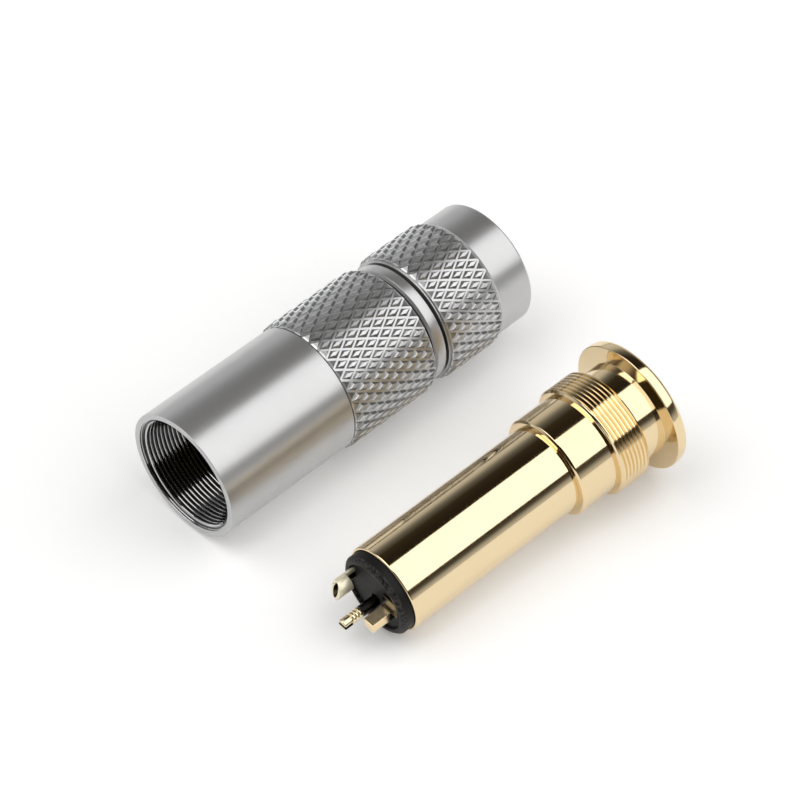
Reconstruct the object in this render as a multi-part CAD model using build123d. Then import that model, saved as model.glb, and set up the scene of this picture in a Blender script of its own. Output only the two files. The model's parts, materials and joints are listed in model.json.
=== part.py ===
"""In-line 6.35 mm three-pole audio jack socket, taken apart.

The shell (a knurled barrel with its tail nut and cable clamp) lies beside the socket
insert (flanged bushing, thin tube, insulators, contacts and three solder terminals).
Each group is turned about its own X axis, then laid down where it comes to rest.
Lengths are in millimetres. The terminals and the open mouth of the barrel point to -X.
"""
import math
import os

from build123d import *

# Barrel, measured along the axis from its open mouth
sleeve_radius = 7.5
sleeve_length = 17.65
mouth_radius = 6.8
mouth_depth = 0.4
rim_chamfer = 0.18
barrel_thread_length = 8.0
front_bore_radius = 6.1
front_bore_end = 12.2
neck_radius = 7.15
neck_length = 1.75
lip_radius = 7.35
lip_length = 0.4
stub_length = 5.4
stub_pitch_radius = 6.3
stub_relief = 0.4

# Diamond knurl, shared by the barrel and the tail nut
knurl_tip_radius = 7.8
knurl_depth = 0.42
knurl_count = 36
knurl_row_pitch = 1.08
knurl_border_share = 0.35
barrel_knurl_rows = 11
nut_knurl_rows = 7

# Tail nut
nut_gap = 0.2
nut_border_length = 0.2
nut_border_radius = 7.25
collar_radius = 7.35
collar_length = 4.9
collar_round = 0.3
nut_end_wall = 1.9
cable_hole_radius = 3.6
cable_hole_chamfer = 0.25
nut_cavity_radius = 5.6
nut_cavity_margin = 0.2

# Insulating liner, thrust washer and cable collet, held inside the shell
liner_wall = 0.4
liner_length = 16.0
liner_lip = 0.8
washer_thickness = 0.4
washer_hole_radius = 4.2
collet_flange_thickness = 1.1
collet_flange_radius = 5.4
collet_hole_radius = 4.0
collet_grip_radius = 3.2
collet_tip_radius = 4.1
collet_fingers = 6
collet_slit = 0.7
collet_grip_ridges = 3

# Socket insert, measured along the axis from the open end of its tube
plug_bore_radius = 3.25
tube_radius = 5.1
tube_wall = 0.3
tube_length = 22.5
body_radius = 5.9
body_length = 4.85
body_chamfer = 0.22
insert_thread_length = 4.0
thread_pitch_radius = 6.45
thread_relief = 0.3
insert_neck_radius = 5.6
insert_neck_length = 3.0
flange_radius = 7.7
flange_thickness = 1.4
flange_round = 0.5
flange_near_round = 0.12
bore_countersink = 0.5
spigot_length = 4.1

# Insulators at the terminal end
ring_protrusion = 1.4
ring_chamfer = 0.4
ring_inner_radius = 3.95
ring_lip_length = 1.2
insulator_wall = 0.55
floor_protrusion = 1.05
block_inner_end = 4.2
spacer_thickness = 1.2
spacer_gap = 0.3
spacer_hole_radius = 3.35

# Contacts and solder terminals, across the axis: side is towards -Y, rise is towards +Z
leaf_thickness = 0.3
leaf_width = 1.8
leaf_inset = 0.1
tip_contact_place = 8.2
tip_contact_rise = 2.3
ring_contact_place = 13.75
ring_contact_reach = 3.0
contact_flare = 1.3
pin_radius = 0.63
pin_rise = -0.6
pin_length = 4.2
pin_groove_depth = 0.12
pin_groove_width = 0.2
pin_groove_pitch = 0.42
pin_grooves = 4
pin_slot_width = 0.36
pin_slot_depth = 0.55
pin_head_radius = 1.0
pin_head_height = 0.25
lug_side = 1.45
lug_width = 1.4
lug_top = 0.3
lug_height = 1.25
lug_length = 2.9
lug_round = 0.75
lug_stem_height = 0.5
lug_plate_reach = 3.7
lug_plate_top = 1.9
cup_side = -2.6
cup_rise = 0.45
cup_radius = 1.2
cup_wall = 0.3
cup_length = 2.55
cup_lips = 0.3
cup_stem_width = 0.9
cup_scoop_length = 1.1
cup_scoop_depth = 0.8

# Fits between mating pieces
thread_clearance = 0.05
fit_clearance = 0.05
taper_clearance = 0.15
liner_clearance = 0.15

# Where the two groups lie
insert_ahead = 5.8
insert_aside = 23.85
insert_yaw = -3.2

# Places worked out along the barrel and the nut
knurl_root_radius = knurl_tip_radius - knurl_depth
barrel_knurl_end = sleeve_length + barrel_knurl_rows * knurl_row_pitch
neck_end = barrel_knurl_end + neck_length
lip_end = neck_end + lip_length
stub_end = lip_end + stub_length
nut_start = lip_end + nut_gap
nut_knurl_start = nut_start + nut_border_length
nut_knurl_end = nut_knurl_start + nut_knurl_rows * knurl_row_pitch
shell_length = nut_knurl_end + collar_length
barrel_thread_radius = thread_pitch_radius + thread_clearance / 2
barrel_thread_end = mouth_depth + barrel_thread_length
liner_inner_radius = tube_radius + liner_clearance
liner_outer_radius = liner_inner_radius + liner_wall
rear_bore_radius = liner_outer_radius + 2 * fit_clearance
washer_end = stub_end + washer_thickness
collet_flange_end = washer_end + collet_flange_thickness
cone_end = shell_length - nut_end_wall
nut_cavity_end = collet_flange_end + nut_cavity_margin

# Places worked out along the insert
tube_inner_radius = tube_radius - tube_wall
spigot_radius = tube_inner_radius - fit_clearance / 2
spigot_start = tube_length - spigot_length
body_end = tube_length + body_length
insert_thread_end = body_end + insert_thread_length
flange_start = insert_thread_end + insert_neck_length
insert_length = flange_start + flange_thickness
insulator_radius = tube_inner_radius - fit_clearance
insulator_bore_radius = insulator_radius - insulator_wall
block_radius = insulator_bore_radius - fit_clearance
block_face_radius = ring_inner_radius - fit_clearance
block_shoulder = ring_lip_length - ring_protrusion
leaf_outer = block_radius - leaf_inset
sleeve_end = spigot_start - leaf_thickness
spacer_start = tip_contact_place + contact_flare + spacer_gap
spacer_end = spacer_start + spacer_thickness
insert_tilt = math.degrees(math.asin((flange_radius - tube_radius) / flange_start))


def turned(outline, rounds=()):
    """Revolve an outline of (place along X, radius) points about the X axis.

    rounds pairs a point of the outline with the radius that rounds its corner.
    """
    face = make_face(Polyline(*outline, close=True))
    for corner, radius in rounds:
        vertex = face.vertices().sort_by_distance(Vector(*corner))[0]
        face = fillet(vertex, radius)
    return revolve(face, Axis.X)


def ring(start, end, outer, inner):
    """A plain ring about the X axis."""
    return turned([(start, inner), (end, inner), (end, outer), (start, outer)])


def across(side, rise):
    """A point of the insert's cross-section: side towards -Y, rise towards +Z."""
    return Vector(0, -side, rise)


def block_between(start, end, side_low, side_high, rise_low, rise_high):
    """A box from its limits along the axis, to the side and in height."""
    size = (end - start, side_high - side_low, rise_high - rise_low)
    middle = across((side_low + side_high) / 2, (rise_low + rise_high) / 2)
    return Pos(Vector((start + end) / 2, 0, 0) + middle) * Box(*size)


def knurl_point(place, half_steps, radius):
    """A point of the knurl, half_steps of the diamonds' half spacing from the bottom."""
    angle = math.pi * half_steps / knurl_count - math.pi / 2
    return Vector(place, radius * math.cos(angle), radius * math.sin(angle))


def knurled_solid(start, rows):
    """A bar whose outside is rows of four-sided pyramids between crossing grooves."""
    def node(row, half_steps):
        return knurl_point(start + row * knurl_row_pitch, half_steps, knurl_root_radius)

    def peak(row, half_steps):
        share = 1 if 0 < row < rows else knurl_border_share
        radius = knurl_root_radius + share * knurl_depth
        return knurl_point(start + row * knurl_row_pitch, half_steps, radius)

    faces = []
    for row in range(rows + 1):
        for step in range(knurl_count):
            middle = 2 * step + row % 2
            sides = [node(row, middle - 1), node(row, middle + 1)]
            tips = [node(near, middle) for near in (row - 1, row + 1) if 0 <= near <= rows]
            for side in sides:
                for tip in tips:
                    faces.append(Face(Wire.make_polygon([peak(row, middle), side, tip])))
    for row in (0, rows):
        shift = row % 2
        rim = [peak(row, k) if k % 2 == shift else node(row, k) for k in range(2 * knurl_count)]
        faces.append(Face(Wire.make_polygon(rim)))
    return Solid(Shell(faces))


def barrel():
    """The long shell: smooth sleeve, knurled grip, neck, lip and threaded stub."""
    core = turned(
        [
            (0, 0),
            (0, sleeve_radius - rim_chamfer),
            (rim_chamfer, sleeve_radius),
            (sleeve_length, sleeve_radius),
            (sleeve_length, neck_radius),
            (neck_end, neck_radius),
            (neck_end, lip_radius),
            (lip_end, lip_radius),
            (lip_end, stub_pitch_radius - stub_relief),
            (lip_end + stub_relief, stub_pitch_radius - stub_relief),
            (lip_end + stub_relief, stub_pitch_radius),
            (stub_end - rim_chamfer, stub_pitch_radius),
            (stub_end, stub_pitch_radius - rim_chamfer),
            (stub_end, 0),
        ]
    )
    hollow = turned(
        [
            (0, 0),
            (0, mouth_radius),
            (mouth_depth, mouth_radius),
            (mouth_depth, barrel_thread_radius),
            (barrel_thread_end, barrel_thread_radius),
            (barrel_thread_end, front_bore_radius),
            (front_bore_end, front_bore_radius),
            (front_bore_end, rear_bore_radius),
            (stub_end - liner_lip, rear_bore_radius),
            (stub_end - liner_lip, liner_inner_radius),
            (stub_end, liner_inner_radius),
            (stub_end, 0),
        ]
    )
    return core + knurled_solid(sleeve_length, barrel_knurl_rows) - hollow


def tail_nut():
    """The clamping nut: knurled grip, smooth collar, thread, taper and cable hole."""
    core = turned(
        [
            (nut_start, 0),
            (nut_start, nut_border_radius),
            (nut_knurl_end, nut_border_radius),
            (nut_knurl_end, collar_radius),
            (shell_length, collar_radius),
            (shell_length, 0),
        ],
        rounds=[((shell_length, collar_radius), collar_round)],
    )
    thread_radius = stub_pitch_radius + thread_clearance
    hollow = turned(
        [
            (nut_start, 0),
            (nut_start, thread_radius),
            (stub_end, thread_radius),
            (stub_end, nut_cavity_radius),
            (nut_cavity_end, nut_cavity_radius),
            (cone_end, collet_tip_radius + taper_clearance),
            (cone_end, cable_hole_radius),
            (shell_length - cable_hole_chamfer, cable_hole_radius),
            (shell_length, cable_hole_radius + cable_hole_chamfer),
            (shell_length, 0),
        ]
    )
    return core + knurled_solid(nut_knurl_start, nut_knurl_rows) - hollow


def insulating_liner():
    """A plastic tube against the lip of the barrel, round the soldered terminals."""
    end = stub_end - liner_lip
    return ring(end - liner_length, end, liner_outer_radius, liner_inner_radius)


def thrust_washer():
    """The washer on the end of the barrel's stub, so that the collet doesn't turn."""
    return ring(stub_end, washer_end, collet_flange_radius, washer_hole_radius)


def cable_collet():
    """A plastic chuck whose tapered fingers the tail nut closes on the cable."""
    finger_end = cone_end - taper_clearance
    ridge_pitch = (finger_end - collet_flange_end) / collet_grip_ridges
    bore = [(finger_end, collet_grip_radius)]
    for ridge in range(collet_grip_ridges):
        start = finger_end - ridge * ridge_pitch
        bore.append((start - ridge_pitch / 2, (collet_grip_radius + collet_hole_radius) / 2))
        bore.append((start - ridge_pitch, collet_grip_radius))
    cone = turned(
        [
            (washer_end, collet_hole_radius),
            (washer_end, collet_flange_radius),
            (collet_flange_end, collet_flange_radius),
            (nut_cavity_end, nut_cavity_radius - taper_clearance),
            (finger_end, collet_tip_radius),
            *bore,
            (collet_flange_end, collet_hole_radius),
        ]
    )
    reach = 2 * nut_cavity_radius
    slit_box = Pos((collet_flange_end + cone_end) / 2, 0, reach / 4) * Box(
        cone_end - collet_flange_end, collet_slit, reach / 2
    )
    for finger in range(collet_fingers):
        cone = cone - Rot(360 * finger / collet_fingers, 0, 0) * slit_box
    return cone


def front_bushing():
    """The turned bushing: spigot, body, thread land, neck, flange and plug bore."""
    return turned(
        [
            (spigot_start, plug_bore_radius),
            (spigot_start, spigot_radius),
            (tube_length, spigot_radius),
            (tube_length, body_radius - body_chamfer),
            (tube_length + body_chamfer, body_radius),
            (body_end, body_radius),
            (body_end, thread_pitch_radius - thread_relief),
            (body_end + thread_relief, thread_pitch_radius),
            (insert_thread_end - thread_relief, thread_pitch_radius),
            (insert_thread_end, thread_pitch_radius - thread_relief),
            (insert_thread_end, insert_neck_radius),
            (flange_start, insert_neck_radius),
            (flange_start, flange_radius),
            (insert_length, flange_radius),
            (insert_length, plug_bore_radius + bore_countersink),
            (insert_length - bore_countersink, plug_bore_radius),
        ],
        rounds=[
            ((flange_start, flange_radius), flange_near_round),
            ((insert_length, flange_radius), flange_round),
        ],
    )


def housing_tube():
    """The thin rolled tube pushed onto the spigot of the bushing."""
    return ring(0, tube_length, tube_radius, tube_inner_radius)


def insulator_sleeve():
    """The plastic sleeve that lines the tube and stands out as a chamfered ring."""
    return turned(
        [
            (-ring_protrusion, ring_inner_radius),
            (-ring_protrusion, insulator_radius - ring_chamfer),
            (ring_chamfer - ring_protrusion, insulator_radius),
            (sleeve_end, insulator_radius),
            (sleeve_end, insulator_bore_radius),
            (block_shoulder, insulator_bore_radius),
            (block_shoulder, ring_inner_radius),
        ]
    )


def contact_block():
    """The plastic disc behind the ring's lip, with a passage for each terminal's stem."""
    disc = turned(
        [
            (-floor_protrusion, 0),
            (-floor_protrusion, block_face_radius),
            (block_shoulder, block_face_radius),
            (block_shoulder, block_radius),
            (block_inner_end, block_radius),
            (block_inner_end, 0),
        ]
    )
    for stem in (pin_hole(), lug_stem(fit_clearance), cup_stem(fit_clearance)):
        disc = disc - stem
    return disc


def pin_hole():
    """The round passage of the tip pin through the block."""
    length = block_inner_end + floor_protrusion
    hole = Cylinder(pin_radius + fit_clearance / 2, length, rotation=(0, 90, 0))
    return Pos(Vector((block_inner_end - floor_protrusion) / 2, 0, 0) + across(0, pin_rise)) * hole


def lug_stem(clearance=0.0):
    """The flat stem of the ring lug where it passes through the block."""
    return block_between(
        -floor_protrusion,
        block_inner_end,
        lug_side - clearance,
        lug_side + lug_width + clearance,
        lug_top - lug_stem_height - clearance,
        lug_top + clearance,
    )


def cup_stem(clearance=0.0):
    """The flat stem of the ground cup where it passes through the block."""
    return block_between(
        -floor_protrusion,
        block_inner_end,
        cup_side - cup_radius - clearance,
        cup_side - cup_radius + cup_wall + clearance,
        cup_rise - cup_stem_width / 2 - clearance,
        cup_rise + cup_stem_width / 2 + clearance,
    )


def tip_pin():
    """The grooved and slotted solder pin, riveted over inside the block."""
    tip = -floor_protrusion - pin_length
    outline = [(tip, 0), (tip, pin_radius)]
    for groove in range(pin_grooves):
        start = tip + 2 * pin_groove_pitch + groove * pin_groove_pitch
        outline.append((start, pin_radius))
        outline.append((start + pin_groove_width / 2, pin_radius - pin_groove_depth))
        outline.append((start + pin_groove_width, pin_radius))
    head = block_inner_end + leaf_thickness
    outline.append((head, pin_radius))
    outline.append((head, pin_head_radius))
    outline.append((head + pin_head_height, pin_head_radius))
    outline.append((head + pin_head_height, 0))
    reach = 2 * pin_radius
    slot = block_between(tip, tip + pin_slot_depth, -reach, reach, -pin_slot_width / 2, pin_slot_width / 2)
    return Pos(across(0, pin_rise)) * (turned(outline) - slot)


def ring_lug():
    """The solder lug of the ring contact: rounded bar, foot plate and flat stem."""
    end = -floor_protrusion - lug_length
    bar = block_between(
        end, -floor_protrusion, lug_side, lug_side + lug_width, lug_top - lug_height, lug_top
    )
    corner = across(lug_side, lug_top - lug_height)
    edge = bar.edges().filter_by(Axis.X).sort_by_distance(corner)[0]
    bar = fillet(edge, lug_round)
    plate = block_between(
        -floor_protrusion - leaf_thickness,
        -floor_protrusion,
        lug_side,
        lug_plate_reach,
        lug_top - lug_stem_height,
        lug_plate_top,
    )
    plate = plate & Cylinder(block_face_radius, insert_length, rotation=(0, 90, 0))
    return bar + plate + lug_stem()


def ground_cup():
    """The ground terminal: a half pipe open to the middle, scooped at its root."""
    end = -floor_protrusion - cup_length
    pipe = ring(end, -floor_protrusion, cup_radius, cup_radius - cup_wall)
    keep = block_between(end, -floor_protrusion, -cup_radius, cup_lips, -cup_radius, cup_radius)
    half = pipe & keep
    scoop = block_between(
        -floor_protrusion - cup_scoop_length,
        -floor_protrusion,
        cup_lips - cup_scoop_depth,
        cup_radius,
        -cup_radius,
        cup_radius,
    )
    return Pos(across(cup_side, cup_rise)) * (half - scoop) + cup_stem()


def leaf(path, place):
    """A spring strip: a path of (along, out) points given thickness towards the axis."""
    line = Polyline(*[Vector(along, out) for along, out in path])
    strip = make_face(offset(line, amount=leaf_thickness, side=Side.RIGHT, kind=Kind.INTERSECTION))
    return place * Pos(0, 0, -leaf_width / 2) * extrude(strip, amount=leaf_width)


def facing(turn):
    """Turns a leaf drawn outwards along +Y to its side of the insert."""
    return Rot(turn, 0, 0)


tip_side = facing(-90)
ring_side = facing(180)
ground_side = facing(0)


def tip_spring():
    """The leaf below the plug's tip, riveted under the pin's head."""
    foot = block_between(
        block_inner_end,
        block_inner_end + leaf_thickness,
        -leaf_width / 2,
        leaf_width / 2,
        -leaf_outer,
        pin_rise + pin_head_radius,
    )
    path = [
        (block_inner_end, leaf_outer),
        (block_inner_end + contact_flare, leaf_outer),
        (tip_contact_place, tip_contact_rise + leaf_thickness),
        (tip_contact_place + contact_flare, leaf_outer - leaf_thickness),
    ]
    hole = Pos(across(0, pin_rise)) * ring(0, insert_length, pin_radius + fit_clearance / 2, 0)
    return leaf(path, tip_side) + foot - hole


def ring_spring():
    """The longer leaf beside the plug's ring, seated on the stem of the ring lug."""
    foot = block_between(
        block_inner_end,
        block_inner_end + leaf_thickness,
        lug_side,
        leaf_outer,
        -leaf_width / 2,
        leaf_width / 2,
    )
    path = [
        (block_inner_end, leaf_outer),
        (spacer_end, leaf_outer),
        (ring_contact_place, ring_contact_reach + leaf_thickness),
        (ring_contact_place + contact_flare, leaf_outer - leaf_thickness),
    ]
    return leaf(path, ring_side) + foot


def ground_strip():
    """The strip from the ground cup to the back of the bushing, with a turned foot."""
    path = [
        (block_inner_end, leaf_outer),
        (spigot_start, leaf_outer),
    ]
    foot = block_between(
        spigot_start - leaf_thickness,
        spigot_start,
        -spigot_radius,
        leaf_thickness - leaf_outer,
        -leaf_width / 2,
        leaf_width / 2,
    )
    foot = foot & ring(sleeve_end, spigot_start, insulator_radius, 0)
    root = block_between(
        block_inner_end,
        block_inner_end + leaf_thickness,
        -leaf_outer,
        cup_side,
        -leaf_width / 2,
        leaf_width / 2,
    )
    return leaf(path, ground_side) + foot + root


def spring_spacer():
    """The plastic ring that guides the plug's tip and keeps the leaves apart."""
    body = ring(spacer_start, spacer_end, block_radius, spacer_hole_radius)
    gap = leaf_width + 2 * fit_clearance
    for side in (tip_side, ring_side, ground_side):
        depth = block_radius - leaf_outer + leaf_thickness + fit_clearance
        notch = Pos((spacer_start + spacer_end) / 2, block_radius, 0) * Box(
            2 * spacer_thickness, 2 * depth, gap
        )
        body = body - side * notch
    return body


shell_pieces = {
    "barrel": barrel(),
    "tail_nut": tail_nut(),
    "insulating_liner": insulating_liner(),
    "thrust_washer": thrust_washer(),
    "cable_collet": cable_collet(),
}
insert_pieces = {
    "front_bushing": front_bushing(),
    "housing_tube": housing_tube(),
    "insulator_sleeve": insulator_sleeve(),
    "contact_block": contact_block(),
    "spring_spacer": spring_spacer(),
    "tip_pin": tip_pin(),
    "tip_spring": tip_spring(),
    "ring_lug": ring_lug(),
    "ring_spring": ring_spring(),
    "ground_cup": ground_cup(),
    "ground_strip": ground_strip(),
}


def laid_down():
    """Where each group lies: both on the floor, centred over the origin."""
    shell = Pos(0, 0, knurl_tip_radius)
    lean = Rot(0, -insert_tilt, 0)
    resting = lean * insert_pieces["front_bushing"]
    height = -resting.bounding_box().min.Z
    insert = Pos(insert_ahead, -insert_aside, height) * Rot(0, 0, insert_yaw) * lean
    placed = [shell * piece for piece in shell_pieces.values()]
    placed += [insert * piece for piece in insert_pieces.values()]
    box = Compound(children=placed).bounding_box()
    middle = Pos(-box.center().X, -box.center().Y, 0)
    return middle * shell, middle * insert


shell_place, insert_place = laid_down()
os.makedirs("parts", exist_ok=True)
for name, piece in shell_pieces.items():
    export_step(shell_place * piece, f"parts/{name}.step")
for name, piece in insert_pieces.items():
    export_step(insert_place * piece, f"parts/{name}.step")
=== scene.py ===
"""Looks of the in-line audio jack socket, taken apart: satin shell beside its gold insert."""
import json
import logging
import math
from dataclasses import dataclass
from enum import Enum
from typing import Callable, Sequence

import bmesh
import bpy
from mathutils import Euler, Matrix, Vector


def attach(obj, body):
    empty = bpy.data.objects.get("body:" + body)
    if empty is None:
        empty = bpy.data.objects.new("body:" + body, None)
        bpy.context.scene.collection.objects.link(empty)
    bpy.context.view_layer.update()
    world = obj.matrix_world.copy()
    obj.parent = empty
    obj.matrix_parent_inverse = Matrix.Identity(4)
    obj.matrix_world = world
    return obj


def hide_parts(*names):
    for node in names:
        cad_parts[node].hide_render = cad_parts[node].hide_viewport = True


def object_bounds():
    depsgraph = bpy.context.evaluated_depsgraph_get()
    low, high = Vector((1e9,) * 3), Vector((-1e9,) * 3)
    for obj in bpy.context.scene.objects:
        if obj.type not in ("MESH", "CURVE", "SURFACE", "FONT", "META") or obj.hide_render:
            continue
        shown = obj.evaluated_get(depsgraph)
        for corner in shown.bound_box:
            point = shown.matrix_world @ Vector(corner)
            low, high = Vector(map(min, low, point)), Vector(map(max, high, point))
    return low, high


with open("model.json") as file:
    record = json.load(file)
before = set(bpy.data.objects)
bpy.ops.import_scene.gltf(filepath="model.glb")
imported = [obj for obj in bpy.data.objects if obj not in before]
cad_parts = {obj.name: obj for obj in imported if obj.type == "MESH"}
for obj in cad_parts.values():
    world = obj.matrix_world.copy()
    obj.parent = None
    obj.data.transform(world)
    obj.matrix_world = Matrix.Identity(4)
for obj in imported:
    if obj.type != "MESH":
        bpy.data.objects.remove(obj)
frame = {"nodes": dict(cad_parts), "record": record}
CAD_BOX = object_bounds()

MM = 0.001
ROUND_STEPS = 216
SHARP_ANGLE = math.radians(34.0)
FLAT_ANGLE = math.radians(1.0)
MERGE_DISTANCE = 4e-4
JOINT_REACH = 10.0 * MERGE_DISTANCE
SPARE_TURNS = 2
WIDE_EASE = 0.1
STREAK_SHARE = 0.02
BODY = "root"

Colour = tuple[float, float, float]
Object = bpy.types.Object
Socket = bpy.types.NodeSocket
Material = bpy.types.Material
logger = logging.getLogger("jack_socket")


def mount(name: str) -> dict:
    """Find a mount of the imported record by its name."""
    return next(row for row in frame["record"]["mounts"] if row["name"] == name)


@dataclass(frozen=True)
class Placement:
    """Where a turned group lies: the start of its axis in metres, and the way it points."""

    origin: Vector
    axis: Vector

    @classmethod
    def from_mount(cls, name: str, along: float, reverse: bool = False) -> "Placement":
        """Work a group's placement out from one of its mounts.

        Args:
            name: The mount on the group's axis.
            along: The mount's place along the group's axis, in millimetres.
            reverse: Whether the mount points against the group's axis.

        Returns:
            The placement of the group.
        """
        row = mount(name)
        axis = Vector(row["axis"]).normalized() * (-1.0 if reverse else 1.0)
        return cls(Vector(row["pos_m"]) - axis * along * MM, axis)

    def turn(self) -> Matrix:
        """Give the rotation that lays a group drawn along X, with Z up, along its axis."""
        across = Vector((0.0, 0.0, 1.0)).cross(self.axis).normalized()
        return Matrix((self.axis, across, self.axis.cross(across))).transposed()

    def matrix(self) -> Matrix:
        """Give the transform from millimetres along X to metres in the row frame."""
        scale = Matrix.Diagonal((MM, MM, MM, 1.0))
        return Matrix.Translation(self.origin) @ self.turn().to_4x4() @ scale


class Signal:
    """A value in a shader tree, to which Python's operators add Math nodes."""

    def __init__(self, tree: "ShaderTree", socket: Socket) -> None:
        """Wrap an output socket of the tree."""
        self.tree = tree
        self.socket = socket

    def __add__(self, other: "Signal | float") -> "Signal":
        """Add a value."""
        return self.tree.math("ADD", self, other)

    def __radd__(self, other: float) -> "Signal":
        """Add to a number."""
        return self.tree.math("ADD", other, self)

    def __sub__(self, other: "Signal | float") -> "Signal":
        """Take a value away."""
        return self.tree.math("SUBTRACT", self, other)

    def __rsub__(self, other: float) -> "Signal":
        """Take this value from a number."""
        return self.tree.math("SUBTRACT", other, self)

    def __mul__(self, other: "Signal | float") -> "Signal":
        """Multiply by a value."""
        return self.tree.math("MULTIPLY", self, other)

    def __rmul__(self, other: float) -> "Signal":
        """Multiply a number."""
        return self.tree.math("MULTIPLY", other, self)

    def __pow__(self, other: float) -> "Signal":
        """Raise to a power."""
        return self.tree.math("POWER", self, other)


class ShaderTree:
    """A node tree of a material or a world, and the few ways in which this file fills it."""

    def __init__(self, owner: bpy.types.ID) -> None:
        """Clear a node tree and keep it.

        Args:
            owner: The material or the world that the tree belongs to.
        """
        owner.use_nodes = True
        self.tree = owner.node_tree
        self.tree.nodes.clear()

    def node(self, kind: str, settings: dict, sockets: dict) -> bpy.types.Node:
        """Add a node.

        Args:
            kind: The node's type.
            settings: Its properties, which are set first; stops are a ramp's places and colours.
            sockets: The values or links of its inputs, by name or number.

        Returns:
            The new node.
        """
        made = self.tree.nodes.new(kind)
        for name, value in settings.items():
            if name == "stops":
                self.set_stops(made.color_ramp, value)
            else:
                setattr(made, name, value)
        for name, value in sockets.items():
            if isinstance(value, Signal):
                value = value.socket
            if isinstance(value, Socket):
                self.tree.links.new(value, made.inputs[name])
            else:
                made.inputs[name].default_value = value
        return made

    @staticmethod
    def set_stops(ramp: bpy.types.ColorRamp, stops: Sequence[tuple[float, Colour]]) -> None:
        """Give a ramp its stops.

        Args:
            ramp: The ramp, which has two stops at first.
            stops: Each stop's place and colour, in order.
        """
        while len(ramp.elements) < len(stops):
            ramp.elements.new(1.0)
        for element, (place, colour) in zip(ramp.elements, stops):
            element.position = place
            element.color = (*colour, 1.0)

    def signal(self, kind: str, settings: dict, sockets: dict) -> Signal:
        """Add a node and give its first output as a value."""
        return Signal(self, self.node(kind, settings, sockets).outputs[0])

    def math(self, operation: str, *values: "Signal | float") -> Signal:
        """Add a Math node with an operation and its inputs in order."""
        return self.signal("ShaderNodeMath", {"operation": operation}, dict(enumerate(values)))

    def local(self, place: Placement) -> Socket:
        """Read the places on a group in its own millimetres.

        Args:
            place: The group's placement.

        Returns:
            A vector socket: along the axis, across it, and up.
        """
        coordinates = self.node("ShaderNodeTexCoord", {}, {})
        sockets = {
            "Vector": coordinates.outputs["Object"],
            "Location": place.origin,
            "Rotation": place.turn().to_euler(),
            "Scale": (MM, MM, MM),
        }
        return self.node("ShaderNodeMapping", {"vector_type": "TEXTURE"}, sockets).outputs["Vector"]

    def parts(self, vector: Socket) -> tuple[Signal, Signal, Signal]:
        """Split a vector into its three values."""
        made = self.node("ShaderNodeSeparateXYZ", {}, {"Vector": vector})
        return tuple(Signal(self, socket) for socket in made.outputs)

    def turned(self, vector: Socket) -> tuple[Signal, Signal]:
        """Read a place on a turned group: how far along its axis it is, and how far out."""
        along, across, rise = self.parts(vector)
        return along, (across * across + rise * rise) ** 0.5

    def joined(self, *values: "Signal | float") -> Socket:
        """Join three values to a vector."""
        return self.node("ShaderNodeCombineXYZ", {}, dict(enumerate(values))).outputs[0]

    def noise(self, vector: Socket, size: float, detail: float = 2.0) -> Signal:
        """Add a noise from 0 to 1, read at a place in millimetres, with the size of its larger grains."""
        sockets = {"Vector": vector, "Scale": 1.0 / size, "Detail": detail}
        return self.signal("ShaderNodeTexNoise", {"noise_dimensions": "3D"}, sockets)

    def ramp(self, value: Signal, stops: Sequence[tuple[float, Colour]]) -> Socket:
        """Look a colour up in a ramp, by a value from 0 to 1."""
        return self.node("ShaderNodeValToRGB", {"stops": stops}, {"Fac": value}).outputs[0]

    def step(self, value: Signal, low: float, high: float) -> Signal:
        """Rise smoothly from 0 to 1 as a value goes from low to high."""
        sockets = {"Value": value, "From Min": low, "From Max": high}
        return self.signal("ShaderNodeMapRange", {"interpolation_type": "SMOOTHSTEP"}, sockets)

    def blend(self, factor: Signal, *colours: object) -> Socket:
        """Mix two colours.

        Args:
            factor: How much of the second shows.
            colours: The two, each a colour or a colour socket.

        Returns:
            The mixed colour's socket.
        """
        first, second = ((*one, 1.0) if isinstance(one, tuple) else one for one in colours)
        made = self.node("ShaderNodeMix", {"data_type": "RGBA"}, {0: factor, 6: first, 7: second})
        return made.outputs[2]

    def bump(self, height: Signal, depth: float) -> Socket:
        """Turn a height into a normal, where a height of 1 stands for a depth in millimetres."""
        made = self.node("ShaderNodeBump", {}, {"Height": height, "Distance": depth * MM})
        return made.outputs["Normal"]

    def surface(self, **sockets: object) -> None:
        """Add the principled shader and the output.

        Args:
            sockets: The shader's inputs, with underscores for spaces.
        """
        values = {name.replace("_", " "): value for name, value in sockets.items()}
        shader = self.node("ShaderNodeBsdfPrincipled", {}, values)
        self.node("ShaderNodeOutputMaterial", {}, {"Surface": shader.outputs[0]})


class Mark(Enum):
    """How a metal surface was made, which is the way its fine marks run."""

    BLASTED = "grains without a direction"
    TURNED = "rings about the axis"
    DRAWN = "streaks along the axis"

    def pattern(self, tree: ShaderTree, local: Socket, size: float) -> Signal:
        """Add the marks to a shader tree.

        Args:
            tree: The tree.
            local: The place on the group, in millimetres.
            size: The width of a mark, in millimetres.

        Returns:
            Their height, from 0 to 1.
        """
        if self is Mark.BLASTED:
            return tree.noise(local, size)
        if self is Mark.DRAWN:
            along, across, rise = tree.parts(local)
            return tree.noise(tree.joined(along * STREAK_SHARE, across, rise), size)
        return tree.noise(tree.joined(*tree.turned(local), 0.0), size)


@dataclass(frozen=True)
class PaintedShade:
    """Painted shade: a change to another colour between two places, along the axis or outward from it, by
    which a finish darkens its colour where shade falls, or brightens it again.
    """

    colour: Colour
    start: float
    end: float
    outward: bool = False


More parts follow.
